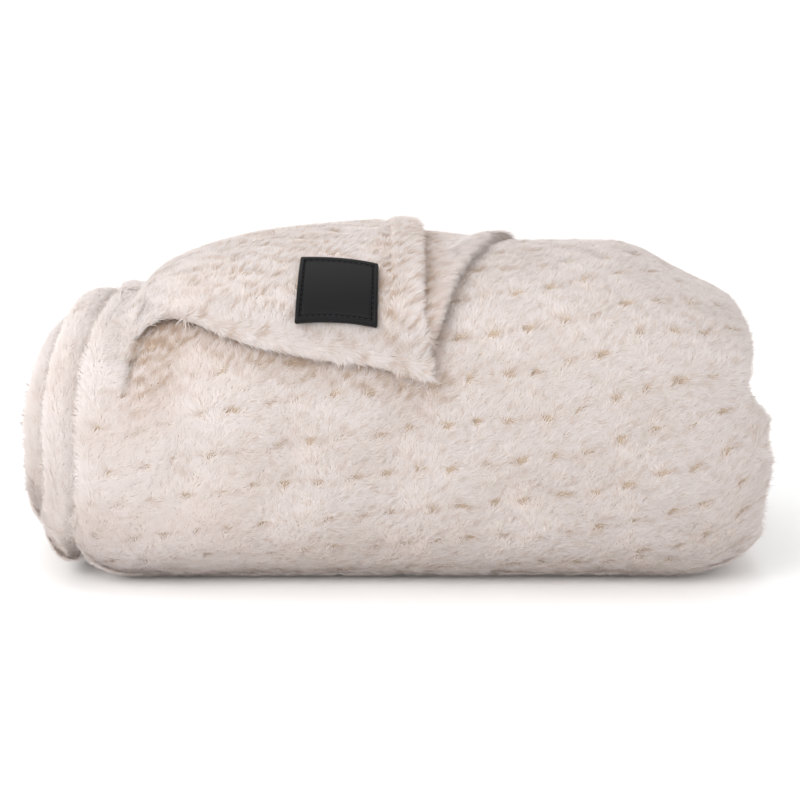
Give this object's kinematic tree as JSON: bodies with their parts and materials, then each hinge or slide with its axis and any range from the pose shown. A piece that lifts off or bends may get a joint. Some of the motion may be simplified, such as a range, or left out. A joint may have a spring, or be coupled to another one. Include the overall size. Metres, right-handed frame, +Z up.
{
  "type": "folded throw blanket",
  "caption": "Folded cream plush throw with a dimpled bubble face, one corner turned over the top and a black rubber patch near it.",
  "frame": {"origin": "on the surface that the folded throw rests on, under the middle of its box", "axes": "+X along the bundle, towards its right end as seen from the front; +Y from the front fold to the back; +Z up"},
  "size_m": [0.4002, 0.244, 0.1923],
  "materials": {
    "plush": "soft brushed pile in rounded bubbles with small dimples between them",
    "patch": "matte moulded rubber with a raised rim"
  },
  "bodies": {
    "root": {"blanket": "plush", "label": "patch"}
  },
  "joints": []
}
